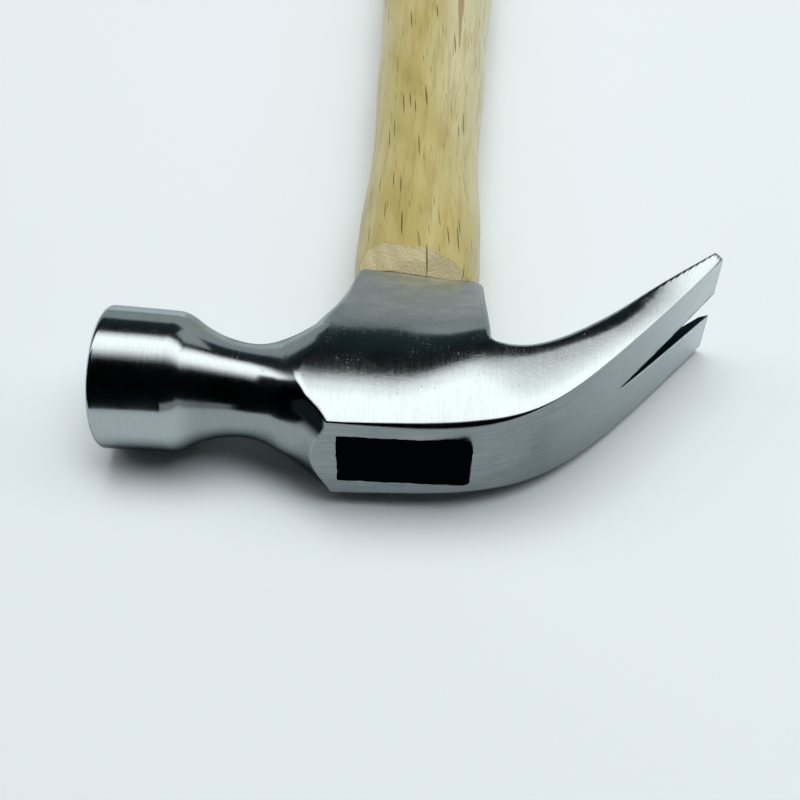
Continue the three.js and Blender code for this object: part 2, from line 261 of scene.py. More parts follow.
def edge_radius(x, y):
    """The cheeks' edge: crisp beside the neck's end, soft at the claw's root, fine on the tines."""
    by_neck = smooth(-x, 6, 9) * (1 - smooth(-x, 19, 23)) * (1 - smooth(y, 26, 35))
    on_socket = mix(0.7, 0.3, smooth(y, 30, 35))
    on_neck = mix(0.35, 2.2, smooth(y, 7.5, 17))
    on_claw = mix(1.5, 0.42, smooth(x, 24, 43))
    return mix(mix(on_socket, on_neck, by_neck), on_claw, smooth(x, 12.8, 16.5))


def crown_radius(x):
    """The edge between the cheeks and the ground outer face."""
    return 0.25 + 0.8 * smooth(x, -14, 7) - 0.9 * smooth(x, 10, 25)


def head(x, y, z):
    handle_side, front = under(x, y)
    body = join(meet(handle_side, front, 1.2), poll(x, y, z), 8.0)
    body = meet(body, cheek(x, y, z), edge_radius(x, y))
    body = meet(body, (outer.at(x) - y) * outer.cosine(x), crown_radius(x))
    body = meet(body, (x - TIP[0]) * TIP_CUT[0] + (y - TIP[1]) * TIP_CUT[1], 0.25)
    body = meet(body, -slot(x, y, z), 0.12)
    return meet(body, -eye_box(x, y, z), 0.1)


# ---------------------------------------------------------------- meshing a field
def gradient(f, p, e=0.02):
    g = np.empty_like(p)
    for i in range(3):
        d = np.zeros(3)
        d[i] = e
        a, b = p + d, p - d
        g[:, i] = (f(*a.T) - f(*b.T)) / (2 * e)
    return g


def unit(v):
    return v / (np.linalg.norm(v, axis=1, keepdims=True) + 1e-12)


def crossing(f, p0, p1, a, b):
    """Where f is zero between p0 and p1, by false position kept off both ends."""
    ta, tb = np.zeros(len(a)), np.ones(len(a))
    for _ in range(5):
        t = np.clip(ta + (tb - ta) * a / (a - b), mix(ta, tb, 0.05), mix(tb, ta, 0.05))
        value = f(*(p0 + (p1 - p0) * t[:, None]).T)
        same = (value < 0) == (a < 0)
        ta, a = np.where(same, t, ta), np.where(same, value, a)
        tb, b = np.where(same, tb, t), np.where(same, b, value)
    return p0 + (p1 - p0) * (ta + (tb - ta) * a / (a - b))[:, None]


def pulled_onto(f, p):
    """Points moved along the gradient to f = 0, in two short steps."""
    for _ in range(2):
        g = gradient(f, p)
        step = g * (f(*p.T) / np.maximum((g * g).sum(1), 0.25))[:, None]
        size = np.linalg.norm(step, axis=1, keepdims=True)
        p = p - step * np.minimum(1, 0.15 / (size + 1e-12))
    return p


def surface_of(f, axes):
    """Dual contouring of f = 0 on a rectilinear grid: vertices and quads."""
    F = f(*np.meshgrid(*axes, indexing="ij"))
    inside = F < 0
    cells = np.array(F.shape) - 1
    strides = np.array([cells[1] * cells[2], cells[2], 1])
    total = int(np.prod(cells))
    # sums over each cell's crossings: normal x normal, normal x distance, and the points themselves
    squares, distances, points = np.zeros((total, 3, 3)), np.zeros((total, 3)), np.zeros((total, 3))
    count = np.zeros(total)
    quads = []
    for axis in range(3):
        lo, hi = [slice(None)] * 3, [slice(None)] * 3
        lo[axis], hi[axis] = slice(0, -1), slice(1, None)
        idx = np.argwhere(inside[tuple(lo)] != inside[tuple(hi)])
        u, v = [(1, 2), (2, 0), (0, 1)][axis]
        keep = (idx[:, u] > 0) & (idx[:, v] > 0) & (idx[:, u] < cells[u]) & (idx[:, v] < cells[v])
        idx = idx[keep]
        far = idx.copy()
        far[:, axis] += 1
        p0 = np.stack([axes[k][idx[:, k]] for k in range(3)], 1)
        p1 = np.stack([axes[k][far[:, k]] for k in range(3)], 1)
        a, b = F[tuple(idx.T)], F[tuple(far.T)]
        q = crossing(f, p0, p1, a, b)
        g = unit(gradient(f, q))
        ring = []
        for du, dv in ((-1, -1), (0, -1), (0, 0), (-1, 0)):
            cell = idx.copy()
            cell[:, u] += du
            cell[:, v] += dv
            flat = cell @ strides
            ring.append(flat)
            np.add.at(squares, flat, g[:, :, None] * g[:, None, :])
            np.add.at(distances, flat, g * (g * q).sum(1)[:, None])
            np.add.at(points, flat, q)
            np.add.at(count, flat, 1)
        ring = np.stack(ring, 1)
        ring[a >= 0] = ring[a >= 0][:, ::-1]
        quads.append(ring)
    used = np.flatnonzero(count)
    number = np.full(total, -1)
    number[used] = np.arange(len(used))
    # each cell's vertex: the best corner for its planes, pulled a little toward the mean
    mean = points[used] / count[used][:, None]
    pull = 0.02 * count[used]
    system = squares[used] + pull[:, None, None] * np.eye(3)
    right = distances[used] + pull[:, None] * mean
    p = np.linalg.solve(system, right[:, :, None])[:, :, 0]
    cell = np.stack(np.unravel_index(used, cells), 1)
    low = np.stack([axes[k][cell[:, k]] for k in range(3)], 1)
    high = np.stack([axes[k][cell[:, k] + 1] for k in range(3)], 1)
    return pulled_onto(f, np.clip(p, low, high)), number[np.vstack(quads)]


# ---------------------------------------------------------------- objects and node trees
def add_object(name, points, faces, material, normals=None, floats=None, uv=None):
    """A mesh object from points in the head's own axes, mm."""
    mesh = bpy.data.meshes.new(name)
    mesh.from_pydata(((np.asarray(points) + ORIGIN) * MM).tolist(), [], [list(f) for f in faces])
    mesh.shade_smooth()
    for key, values in (floats or {}).items():
        attribute = mesh.attributes.new(key, "FLOAT", "POINT")
        attribute.data.foreach_set("value", np.asarray(values, np.float32))
    if uv is not None:
        layer = mesh.uv_layers.new(name="UVMap")
        layer.data.foreach_set("uv", np.asarray(uv, np.float32).ravel())
    if normals is not None:
        mesh.normals_split_custom_set_from_vertices(np.asarray(normals).tolist())
    mesh.materials.append(material)
    obj = bpy.data.objects.new(name, mesh)
    bpy.context.scene.collection.objects.link(obj)
    return obj


class Nodes:
    """A short way to build a node tree."""

    def __init__(self, tree):
        self.tree = tree
        tree.nodes.clear()

    def add(self, kind, inputs=None, **props):
        node = self.tree.nodes.new("ShaderNode" + kind)
        for key, value in props.items():
            setattr(node, key, value)
        for key, value in (inputs or {}).items():
            self.put(node.inputs[key], value)
        return node

    def put(self, socket, value):
        if hasattr(value, "is_output"):
            self.tree.links.new(value, socket)
        else:
            socket.default_value = value

    def math(self, op, a, b=0.0, clamp=False):
        node = self.add("Math", operation=op, use_clamp=clamp)
        self.put(node.inputs[0], a)
        self.put(node.inputs[1], b)
        return node.outputs[0]

    def plus(self, a, b):
        return self.math("ADD", a, b)

    def minus(self, a, b):
        return self.math("SUBTRACT", a, b)

    def times(self, a, b, clamp=False):
        return self.math("MULTIPLY", a, b, clamp)

    def weighted(self, start, *terms):
        """start + value * factor for each (value, factor)."""
        for value, factor in terms:
            start = self.plus(start, self.times(value, factor))
        return start

    def ramp(self, fac, *stops):
        node = self.add("ValToRGB")
        elements = node.color_ramp.elements
        while len(elements) < len(stops):
            elements.new(0.5)
        for element, (at, value) in zip(elements, stops):
            element.position = at
            element.color = (*value, 1) if hasattr(value, "__len__") else (value, value, value, 1)
        self.put(node.inputs[0], fac)
        return node.outputs[0]

    def mix(self, fac, a, b):
        node = self.add("MixRGB", blend_type="MIX")
        self.put(node.inputs[0], fac)
        for socket, value in ((node.inputs[1], a), (node.inputs[2], b)):
            self.put(socket, (*value, 1) if isinstance(value, tuple) else value)
        return node.outputs[0]

    def noise(self, vector, scale, detail=2.0, rough=0.5):
        inputs = {"Vector": vector, "Scale": scale, "Detail": detail, "Roughness": rough}
        return self.add("TexNoise", inputs).outputs["Fac"]

    def stretched(self, vector, scale):
        return self.add("Mapping", {"Vector": vector, "Scale": scale}).outputs[0]

    def attribute(self, name):
        return self.add("Attribute", attribute_name=name).outputs["Fac"]

    def beyond(self, coordinate, start, span):
        """0 to 1 while an object coordinate goes from start over span, both in metres."""
        return self.times(self.minus(coordinate, start), 1 / span, clamp=True)


def new_material(name):
    material = bpy.data.materials.new(name)
    material.use_nodes = True
    return material, Nodes(material.node_tree)


# ---------------------------------------------------------------- the head
def steel_material():
    """Brushed polished steel, ground on the outer face and satin on the socket."""
    material, n = new_material("polished_steel")
    where = n.add("TexCoord").outputs["Object"]
    place = n.add("SeparateXYZ", {"Vector": where}).outputs
    crown, forged, slot_wall = n.attribute("crown"), n.attribute("forged"), n.attribute("slot_wall")
    satin, dull_and_painted_shade, shade = n.attribute("satin"), n.attribute("dull_and_painted_shade"), n.attribute("shade")

    # grinding lines: round the poll and across the cheeks, and lengthwise on the outer face
    across = n.noise(n.stretched(where, (1.0, 0.05, 0.05)), 5000, 4, 0.7)
    along = n.noise(n.stretched(where, (0.04, 0.04, 1.0)), 4200, 4, 0.7)
    lines = n.mix(crown, across, along)
    wide = n.noise(where, 80, 1, 0.5)
    patch = n.noise(where, 260, 5, 0.65)
    speckle = n.noise(where, 1500, 4, 0.75)
    grain = n.noise(where, 2600, 2, 0.6)
    clouds = n.noise(n.stretched(where, (0.6, 1.0, 1.0)), 420, 6, 0.72)
    blotch = n.ramp(clouds, (0.38, 0.0), (0.62, 1.0))

    polished = n.ramp(lines, (0.30, (0.555, 0.615, 0.622)), (0.70, (0.645, 0.71, 0.713)))
    ground = n.ramp(lines, (0.28, (0.19, 0.22, 0.225)), (0.72, (0.37, 0.40, 0.405)))
    ground = n.mix(n.ramp(patch, (0.35, 0.0), (0.7, 0.5)), ground, (0.24, 0.27, 0.275))
    # the outer face turns brighter toward the tines
    bright_start, bright_span = (ORIGIN[0] + 22) * MM, 30 * MM
    tip = n.beyond(place[0], bright_start, bright_span)
    ground = n.mix(tip, ground, n.mix(lines, (0.72, 0.765, 0.77), (0.89, 0.93, 0.93)))
    base = n.mix(crown, polished, ground)

    # the satin skin of the socket, with a speckled border
    speckled = n.plus(forged, n.times(n.minus(speckle, 0.5), 1.1))
    skin = n.times(n.ramp(speckled, (0.15, 0.0), (0.85, 1.0)), n.ramp(forged, (0.02, 0.0), (0.2, 1.0)))
    base = n.mix(skin, base, n.mix(blotch, (0.76, 0.82, 0.815), (0.92, 0.97, 0.96)))
    # painted shade, partly a duller finish: the base darkens where the mask of duller steel and painted
    # shade is high
    base = n.mix(n.times(dull_and_painted_shade, 0.62), base, (0.08, 0.095, 0.10))
    # painted shade: nearly black in the corner between the neck and the cheek and along the socket's end
    base = n.mix(shade, base, (0.006, 0.009, 0.010))
    base = n.mix(slot_wall, base, (0.006, 0.010, 0.012))

    # small unpolished pits
    near_pit = n.add("TexVoronoi", {"Vector": where, "Scale": 1100.0}, feature="F1").outputs["Distance"]
    pit = n.times(n.ramp(near_pit, (0.06, 1.0), (0.15, 0.0)), n.ramp(patch, (0.54, 0.0), (0.60, 1.0)))
    base = n.mix(n.times(pit, 0.35), base, (0.12, 0.14, 0.14))

    # tiny rough spots that catch light, from the middle of the cheeks toward the handle
    spot_start, spot_span = (ORIGIN[1] + 5) * MM, 20 * MM
    low = n.ramp(n.beyond(place[1], spot_start, spot_span), (0.1, 0.0), (0.3, 1.0))
    spot = n.ramp(n.noise(where, 4200, 1, 0.5), (0.66, 0.0), (0.74, 1.0))
    spot = n.times(spot, n.times(low, n.ramp(patch, (0.40, 0.0), (0.60, 1.0))))

    rough = n.weighted(0.14, (n.math("MAXIMUM", crown, satin), 0.22), (satin, 0.02), (spot, 0.16),
                       (slot_wall, 0.2), (n.minus(patch, 0.5), 0.12), (n.minus(lines, 0.5), 0.16))
    height = n.weighted(n.times(lines, 0.75), (wide, 8.0), (patch, 1.6), (grain, 0.35),
                        (n.times(skin, blotch), 2.0), (pit, -1.5))
    bump = n.add("Bump", {"Height": height, "Strength": 0.55, "Distance": 0.00002})
    metal = n.minus(1.0, n.times(slot_wall, 0.85))
    shader = n.add("BsdfPrincipled", {"Base Color": base, "Metallic": metal, "Roughness": rough,
                                      "Specular IOR Level": 0.0, "Specular Tint": (0.5, 0.54, 0.56, 1.0),
                                      "Normal": bump.outputs[0]})
    n.add("OutputMaterial", {"Surface": shader.outputs[0]})
    return material


def spaced(*stops):
    """Grid lines from (start, step), (start, step), ... (end, None)."""
    lines = []
    for (a, step), (b, _) in zip(stops, stops[1:]):
        lines.append(np.linspace(a, b, max(1, round((b - a) / step)), endpoint=False))
    return np.append(np.concatenate(lines), stops[-1][0])


def unfold(u, v, w):
    """Grid coordinates that follow the outer face (v = 0) and the cheeks (w = +-10)."""
    y = v + outer.at(u)
    return u, y, w / 10 * half_width(u, y)


def finishes_and_painted_shade(p, normal):
    """Masks for each finish, for painted shade and for the darker slot walls, from 0 to 1 at every
    vertex; the mask of duller steel and painted shade goes on to 1.35.
    """
    x, y, z = p.T
    nx, ny, nz = normal.T
    outward = unit(np.stack([outer.slope(x), -np.ones_like(x), np.zeros_like(x)], 1))
    facing = (outward * normal).sum(1)
    cheeks = smooth(np.abs(nz), 0.7, 0.9)

    crown = smooth(facing, 0.8, 0.96) * smooth(-np.abs(y - outer.at(x)), -0.6, -0.15)
    crown = crown * smooth(x, -16.5, -15.5)

    socket_wall = smooth(nx, 0.3, 0.7) * smooth(y, 18.5, 20) * (1 - smooth(x, 13.2, 14.5))
    forged = smooth(y, 18.5, 27.5) * cheeks * smooth(x, -14, -10) * (1 - smooth(x, 11, 12.5))
    forged = np.maximum(forged, socket_wall)

    slot_wall = smooth(-np.abs(slot(x, y, z)), -0.2, -0.05) * smooth(x, 33, 35)
    slot_wall = slot_wall * (1 - smooth(facing, 0.5, 0.9))

    satin = smooth(x, -37.5, -34) * (1 - smooth(x, -13, -8)) * smooth(ny, 0.05, 0.5)
    satin = np.maximum(smooth(forged, 0, 0.35), 0.8 * satin)

    # darker steel: painted shade on the underside of the head, the outer face's lower rim and the neck's
    # side toward the handle; painted shade and a duller finish on the poll's side toward the crown; a
    # duller finish on the socket's wall
    poll_only = 1 - smooth(x, -12.5, -11.5)
    crown_side = smooth(-ny, 0.3, 0.55) * poll_only * (1 - crown) * mix(0.65, 1.0, smooth(x, -37, -33))
    handle_side = smooth(ny, 0.15, 0.45) * (1 - smooth(ny, 0.96, 1.0)) * (1 - cheeks)
    handle_side = handle_side * smooth(x, -32, -27) * (1 - smooth(x, -20, -14))
    underside = smooth(-nz, 0.12, 0.5)
    lower_rim = crown * smooth(-z / half_width(x, y), 0.94, 0.975) * (1 - smooth(x, 14, 22))
    dull_and_painted_shade = np.max([crown_side, 1.25 * handle_side, 1.35 * underside, 1.35 * lower_rim,
                   0.8 * socket_wall], axis=0)

    # painted shade, nearly black: the corner between the neck and the cheek, and the socket's end next
    # to the handle
    corner = smooth(z, 4.2, 6.6) * smooth(x, -21, -19) * (1 - cheeks) * poll_only
    corner = corner * smooth(-nx, 0.25, 0.4) * smooth(-ny, 0.35, 0.5)
    lip = smooth(y - socket_end(x), -0.4, -0.1) * smooth(x, -16, -12) * (1 - smooth(x, 12.5, 14.0))
    shade = np.maximum(corner, 0.7 * lip)
    return {"crown": crown, "forged": forged, "satin": satin, "slot_wall": slot_wall, "dull_and_painted_shade": dull_and_painted_shade,
            "shade": shade}


def make_head(material):
    """The head's field on a grid that is finer at the bell, the edges and the cheeks."""
    half = spaced((0.0, 0.16), (0.64, 0.4), (8.8, 0.12), (10.5, None))
    axes = (
        spaced((-51.7, 0.3), (-49.0, 0.5), (-38.5, 0.25), (-35.5, 0.5), (-20.0, 0.33), (-8.0, 0.45),
               (53.4, None)),
        spaced((-0.9, 0.3), (-0.3, 0.15), (1.8, 0.45), (15.0, 0.4), (34.0, 0.25), (38.0, None)),
        np.concatenate([-half[:0:-1], half]),
    )
    grid_points, quads = surface_of(lambda u, v, w: head(*unfold(u, v, w)), axes)
    points = np.stack(unfold(*grid_points.T), 1)
    normals = unit(gradient(head, points))
    obj = add_object("HammerHead", points, quads, material, normals, finishes_and_painted_shade(points, normals))
    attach(obj, "root")
    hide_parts("hammer_head")


# ---------------------------------------------------------------- the handle
def wood_material():
    """Pale lacquered oak: figure, fibre, one brown streak, pores and a rasped facet."""
    material, n = new_material("lacquered_oak")
    where = n.add("TexCoord").outputs["Object"]
    place = n.add("SeparateXYZ", {"Vector": where}).outputs
    uv = n.add("UVMap", uv_map="UVMap").outputs[0]
    rasp = n.attribute("rasp")

    # broad figure: noise stretched along the grain and a few slanting bands
    figure = n.noise(n.stretched(where, (1.0, 0.18, 1.0)), 150, 2, 0.5)
    bands = n.add("TexWave", {"Vector": n.stretched(where, (1.0, 0.55, 0.5)), "Scale": 60.0,
                              "Distortion": 7.0, "Detail": 3.0, "Detail Scale": 1.5},
                  wave_type="BANDS", bands_direction="DIAGONAL").outputs["Fac"]
    fibre = n.noise(n.stretched(where, (1.0, 0.06, 1.0)), 900, 5, 0.75)
    base = n.ramp(figure, (0.30, (0.49, 0.375, 0.12)), (0.50, (0.545, 0.44, 0.152)),
                  (0.72, (0.65, 0.555, 0.26)))
    base = n.mix(n.times(bands, 0.5), base, (0.63, 0.53, 0.225))

    # the wood turns pale toward +X and up the handle
    pale_start = (ORIGIN[1] + 45) * MM
    climb = n.times(n.minus(place[1], pale_start), 18.0, clamp=True)
    slide = n.plus(n.times(place[0], 70.0), n.times(figure, 0.5))
    pale = n.times(n.ramp(slide, (0.1, 0.0), (0.6, 1.0)), climb)
    base = n.mix(n.times(pale, 0.75), base, (0.71, 0.665, 0.425))
    dark_fibre = n.ramp(fibre, (0.36, 1.0), (0.5, 0.0))
    base = n.mix(n.times(dark_fibre, 0.42), base, (0.34, 0.23, 0.06))

    # a brown mineral streak that tapers toward the head and fades toward the butt
    streak_x, streak_half = (ORIGIN[0] + 5.6) * MM, 1.05 * MM
    streak_start, streak_growth = (ORIGIN[1] + 100) * MM, 30 * MM
    streak_end, streak_fade = (ORIGIN[1] + 195) * MM, 35 * MM
    grown = n.beyond(place[1], streak_start, streak_growth)
    drift = n.times(n.minus(fibre, 0.5), 1.2 * MM)
    off = n.math("ABSOLUTE", n.plus(n.minus(place[0], streak_x), drift))
    inside = n.minus(n.times(grown, streak_half), off)
    streak = n.times(n.times(inside, 5000.0, clamp=True), n.ramp(grown, (0.0, 0.0), (0.06, 1.0)))
    ahead = n.times(n.minus(streak_end, place[1]), 1 / streak_fade, clamp=True)
    base = n.mix(n.times(n.times(streak, ahead), 0.7), base, (0.30, 0.20, 0.085))
    base = n.mix(n.times(rasp, 0.7), base, (0.80, 0.69, 0.43))

    # pores: dark dashes along the grain, in the unrolled surface, as (cell size, dash, shift, share)
    slant = n.add("Mapping", {"Vector": uv, "Rotation": (0.0, 0.0, 0.075)}).outputs[0]
    dashes = []
    for scale, radius, shift, share in (((48.0, 2.0, 1.0), 0.072, 0.0, 0.05),
                                        ((60.0, 2.9, 1.0), 0.074, 3.7, 0.1),
                                        ((80.0, 5.5, 1.0), 0.075, 8.1, 0.2)):
        moved = n.add("Mapping", {"Vector": n.stretched(slant, scale), "Location": (shift, shift, 0.0)})
        cell = n.add("TexVoronoi", {"Vector": moved.outputs[0], "Scale": 1.0, "Randomness": 1.0},
                     voronoi_dimensions="2D", feature="F1")
        chance = n.add("SeparateColor", {"Color": cell.outputs["Color"]}).outputs[0]
        gate = n.ramp(chance, (share, 0.0), (share + 0.5, 1.0))
        thin = n.ramp(cell.outputs["Distance"], (radius * 0.7, 1.0), (radius * 1.15, 0.0))
        dashes.append(n.times(thin, gate))
    pore = n.math("MAXIMUM", n.math("MAXIMUM", dashes[0], dashes[1]), n.times(dashes[2], 0.6))
    base = n.mix(n.times(pore, 0.88), base, (0.13, 0.080, 0.013))

    grit = n.noise(where, 1900, 3, 0.7)
    rough = n.plus(n.times(rasp, 0.3), 0.38)
    height = n.weighted(n.minus(n.times(fibre, 0.5), pore), (n.times(rasp, grit), 8.0))
    bump = n.add("Bump", {"Height": height, "Strength": 0.5, "Distance": 0.00006})
    shader = n.add("BsdfPrincipled", {"Base Color": base, "Roughness": rough, "Normal": bump.outputs[0],
                                      "Coat Weight": 0.2, "Coat Roughness": 0.3})
    n.add("OutputMaterial", {"Surface": shader.outputs[0]})
    return material


def handle_section(y):
    """Half width and half thickness at y, eased between the named sections."""
    share = y / LENGTH
    width, thickness = HANDLE_SECTIONS[0][1:]
    for a, b in zip(HANDLE_SECTIONS, HANDLE_SECTIONS[1:]):
        t = min(1.0, max(0.0, (share - a[0]) / (b[0] - a[0])))
        t = t * t * t * (t * (6 * t - 15) + 10)
        if share >= a[0]:
            width, thickness = mix(a[1], b[1], t), mix(a[2], b[2], t)
    return width, thickness


def oval(angle, power):
    """A superellipse of half axes 1; power 2 is a circle and more is squarer."""
    c, s = np.cos(angle), np.sin(angle)
    return np.sign(c) * np.abs(c) ** (2 / power), np.sign(s) * np.abs(s) ** (2 / power)


def loft(rings):
    """Closed quads and end caps over rings of equal size."""
    n = len(rings[0])
    points = np.concatenate(rings)
    faces = []
    for k in range(len(rings) - 1):
        a, b = k * n, (k + 1) * n
        faces += [(a + i, a + (i + 1) % n, b + (i + 1) % n, b + i) for i in range(n)]
    faces.append(tuple(range(n - 1, -1, -1)))
    faces.append(tuple(range(len(points) - n, len(points))))
    return points, faces


def unrolled(points, faces, n):
    """UVs in units of 100 mm, round the handle and along it, with the seam at the first column."""
    girth = 2 * math.pi * UNROLL_RADIUS
    uv = []
    for face in faces:
        columns = [v % n for v in face]
        on_seam = len(face) == 4 and n - 1 in columns
        for v, column in zip(face, columns):
            share = 1.0 if on_seam and column == 0 else column / n
            uv.append((share * girth / 100, points[v][1] / 100))
    return uv


def tongue_ring(angle, y):
    """A ring of the tongue inside the eye."""
    t = y / SHOULDER_Y
    ox, oz = oval(angle, 6)
    x = mix(*TONGUE_X, t) + mix(*TONGUE_LENGTH, t) * ox
    return np.stack([x, np.full(len(angle), y), mix(*TONGUE_WIDTH, t) * oz], 1)


def grip_ring(angle, d):
    """A ring at distance d below the shoulder, and where on it the rasp has cut."""
    middle = SHOULDER_Y + d
    w, h = handle_section(min(middle, LENGTH))
    past = max(0.0, middle - (LENGTH - BUTT_EDGE))
    rounding = 2.0 * (1 - math.sqrt(max(0.0, 1 - past ** 2 / 6.5)))
    w -= rounding + 0.7 * max(0.0, 1 - d / 9) ** 2
    h -= rounding
    soft = 0.35 * max(0.0, 1 - d / 0.6) ** 2
    ox, oz = oval(angle, mix(2.45, 2.15, float(smooth(d, 4.0, 24.0))))
    x, z = (w - soft) * ox, (h - soft) * oz
    # the first ring follows the socket's slanting end, and the slant is gone 30 mm further on
    end = socket_end(np.clip(x, -14, 14)) - 0.05
    y = np.full(len(angle), middle) if d > 30 else mix(end, SHOULDER_Y + 30, d / 30)
    cut = np.zeros(len(angle))
    if d < FACET_END:
        # the facet slants out from the socket, narrows to both sides and has an uneven end
        limit = (6.55 + 0.62 * (y - SHOULDER_Y) + 0.45 * np.minimum(x + 2, 0)
                 + 0.32 * np.maximum(x - 1.5, 0) - soft)
        limit = limit + 0.08 * np.sin(2.3 * x + y) + 0.05 * np.sin(5.1 * x - 2 * y)
        limit = np.minimum(limit, half_width(x, end) - 0.15 + 1.1 * (y - end))
        over = np.abs(z) - limit
        cut = smooth(over, -0.1, 0.15)
        z = np.where(over > 0, np.sign(z) * limit, z)
    return np.stack([x, np.minimum(y, LENGTH), z], 1), cut


def make_handle(material):
    n = 160
    angle = -math.pi / 2 + 2 * math.pi * np.arange(n) / n
    rings = [tongue_ring(angle, y) for y in (1.9, 12.0, 24.0, 35.0)]
    rasp = [np.zeros(n) for _ in rings]
    # rings are close at the shoulder, along the facet and round the butt's edge
    stations = [0.02, 0.1, 0.3, 0.6, *np.arange(1.0, FACET_END, 0.25), *np.arange(12.5, 30, 0.6),
                *np.arange(31, 238, 1.5), 239, 240, 240.7, 241.3, 241.8, 242.2, 242.5, 242.8]
    for d in stations:
        ring, cut = grip_ring(angle, d)
        rings.append(ring)
        rasp.append(cut)
    points, faces = loft(rings)
    obj = add_object("Handle", points, faces, material, floats={"rasp": np.concatenate(rasp)},
                     uv=unrolled(points, faces, n))
    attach(obj, "root")
    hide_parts("handle")


# ---------------------------------------------------------------- the wedges and the black fill
def wedge_material(name, light, dark, metallic, rough):
    """Bare wood or matt steel with a streaky grain along the wedge."""
    material, n = new_material(name)
    where = n.add("TexCoord").outputs["Object"]
    streak = n.noise(n.stretched(where, (1.0, 0.1, 1.0)), 1800, 4, 0.6)
    mottle = n.noise(where, 500, 3, 0.6)
    base = n.mix(n.ramp(streak, (0.3, 0.0), (0.7, 1.0)), dark, light)
    base = n.mix(n.times(mottle, 0.3), base, dark)
    uneven = n.plus(rough, n.times(mottle, 0.2))
    bump = n.add("Bump", {"Height": streak, "Strength": 0.4, "Distance": 0.00003})
    shader = n.add("BsdfPrincipled", {"Base Color": base, "Metallic": metallic, "Roughness": uneven,
                                      "Normal": bump.outputs[0]})
    n.add("OutputMaterial", {"Surface": shader.outputs[0]})
    return material


def dress_wedges():
    """The wedges stay as the CAD made them, and get better materials."""
    wood = wedge_material("wedge_wood", (0.44, 0.26, 0.10), (0.26, 0.14, 0.05), 0.0, 0.6)
    steel = wedge_material("wedge_steel", (0.20, 0.21, 0.21), (0.10, 0.105, 0.11), 1.0, 0.4)
    for node, material in (("wood_wedge", wood), ("steel_wedge_front", steel),
                           ("steel_wedge_rear", steel)):
        bpy.data.objects[node].material_slots[0].material = material


def fill_material():
    """Black resin, faintly mottled and matt."""
    material, n = new_material("black_fill")
    grain = n.noise(n.add("TexCoord").outputs["Object"], 400, 3)
    black = (0.0008, 0.0022, 0.0034)
    base = n.mix(grain, tuple(0.9 * c for c in black), tuple(1.1 * c for c in black))
    shader = n.add("BsdfPrincipled", {"Base Color": base, "Roughness": 0.55, "Specular IOR Level": 0.0})
    n.add("OutputMaterial", {"Surface": shader.outputs[0]})
    return material


def rounded_outline(corners, count):
    """Evenly spaced points round a polygon whose corners (x, z, radius) are rounded."""
    path = []
    for k, (x, z, r) in enumerate(corners):
        here = np.array([x, z])
        back, ahead = (np.array(corners[(k + s) % len(corners)][:2]) - here for s in (-1, 1))
        a, b = here + back / np.linalg.norm(back) * r, here + ahead / np.linalg.norm(ahead) * r
        t = np.linspace(0, 1, 9)[:, None]
        path.append((1 - t) ** 2 * a + 2 * t * (1 - t) * here + t * t * b)
    path = np.concatenate(path + [path[0][:1]])
    along = np.append(0, np.cumsum(np.linalg.norm(np.diff(path, axis=0), axis=1)))
    at = along[-1] * np.arange(count) / count
    return np.stack([np.interp(at, along, path[:, 0]), np.interp(at, along, path[:, 1])], 1)


def make_seal(material):
    """The fill in the eye, with an uneven film that laps over the eye's rim."""
    n = 320
    hole = rounded_outline(((-10.1, -4.9, 0.8), (10.4, -4.9, 0.8), (10.4, 4.9, 0.8),
                            (-10.1, 4.9, 0.8)), n)
    film = rounded_outline(((-10.55, -5.35, 0.6), (10.6, -5.2, 1.6), (10.85, 5.55, 1.3),
                            (-10.45, 5.75, 0.5)), n)
    turn = 2 * math.pi * np.arange(n) / n
    wobble = 0.05 * np.sin(9 * turn + 1.0) + 0.035 * np.sin(23 * turn + 2.0) + 0.025 * np.sin(41 * turn)
    outward = np.sign(film) * (np.abs(film) > np.abs(film).max(0) - 1.2)
    rim = film + wobble[:, None] * outward
    centre = np.array([0.1, 0.1])
    rings = []
    for y, plan, shrink in ((1.6, hole, 0.04), (0.05, hole, 0.02), (0.0, rim, 0.0),
                            (-0.03, rim, 0.004), (-0.045, rim, 0.02), (-0.045, rim, 0.3)):
        plan = plan + (centre - plan) * shrink
        rings.append(np.stack([plan[:, 0], np.full(n, y), plan[:, 1]], 1))
    points, faces = loft([ring[::-1] for ring in rings])
    obj = add_object("EyeFill", points, faces, material)
    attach(obj, "root")
    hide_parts("eye_seal")


# ---------------------------------------------------------------- the stage, metres
def area_light(name, centre, target, size, energy, glossy=True, color=(1, 1, 1)):
    data = bpy.data.lights.new(name, "AREA")
    data.shape = "RECTANGLE"
    data.size, data.size_y = size
    data.energy = energy
    data.color = color
    obj = bpy.data.objects.new(name, data)
    obj.location = centre
    obj.rotation_euler = (Vector(target) - Vector(centre)).to_track_quat("-Z", "Y").to_euler()
    obj.visible_glossy = glossy
    bpy.context.scene.collection.objects.link(obj)


def level(x0, x1, y0, y1, z):
    """Corners of a level rectangle."""
    return [(x0, y0, z), (x1, y0, z), (x1, y1, z), (x0, y1, z)]


def wall_across(x0, x1, y, z0, z1):
    """Corners of an upright rectangle that runs along X."""
    return [(x0, y, z0), (x1, y, z0), (x1, y, z1), (x0, y, z1)]


def wall_along(x, y0, y1, z0, z1):
    """Corners of an upright rectangle that runs along Y."""
    return [(x, y0, z0), (x, y1, z0), (x, y1, z1), (x, y0, z1)]


def stage_plane(name, corners, color, seen=False):
    mesh = bpy.data.meshes.new(name)
    mesh.from_pydata(corners, [], [[0, 1, 2, 3]])
    material, n = new_material(name)
    shader = n.add("BsdfPrincipled", {"Base Color": (*color, 1), "Roughness": 0.7,
                                      "Specular IOR Level": 0.0})
    n.add("OutputMaterial", {"Surface": shader.outputs[0]})
    mesh.materials.append(material)
    obj = bpy.data.objects.new(name, mesh)
    bpy.context.scene.collection.objects.link(obj)
    obj.visible_camera = seen
    return obj


